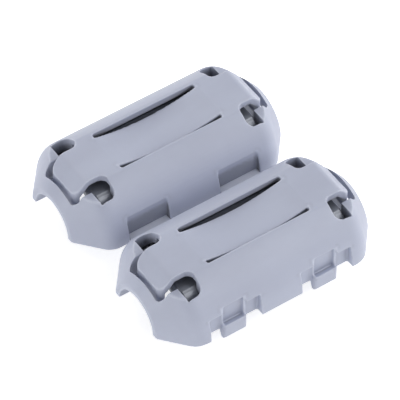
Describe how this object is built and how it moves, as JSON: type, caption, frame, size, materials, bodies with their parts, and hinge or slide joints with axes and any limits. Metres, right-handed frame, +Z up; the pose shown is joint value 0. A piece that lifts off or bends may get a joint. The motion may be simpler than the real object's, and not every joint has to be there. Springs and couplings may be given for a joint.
{
  "type": "clip-on ferrite bead",
  "caption": "Clip-on ferrite bead lying open: nylon half shells that hold a split ferrite core, joined by hinge straps, which fold round a cable and snap shut with hooks in loops.",
  "frame": {"origin": "middle of the hinge line between the two open halves, on the surface that the open clip stands on", "axes": "+X along the cable channels, +Y across the hinge from the hooked half to the looped half, +Z up through the outer faces"},
  "size_m": [0.03, 0.0338, 0.0102],
  "materials": {
    "nylon": "satin moulded nylon, pale bluish grey",
    "ferrite": "sintered and tumbled, nearly black"
  },
  "bodies": {
    "looped_half": {"looped_case": "nylon", "looped_core": "ferrite", "left_strap": "nylon", "right_strap": "nylon"},
    "hooked_half": {"hooked_case": "nylon", "hooked_core": "ferrite"}
  },
  "joints": [
    {"name": "hinge", "type": "hinge", "parent": "looped_half", "child": "hooked_half", "pos_m": [0, 0, 0.00285], "axis": [1, 0, 0], "range_deg": [0, 180], "deforming": ["left_strap", "right_strap"]}
  ]
}
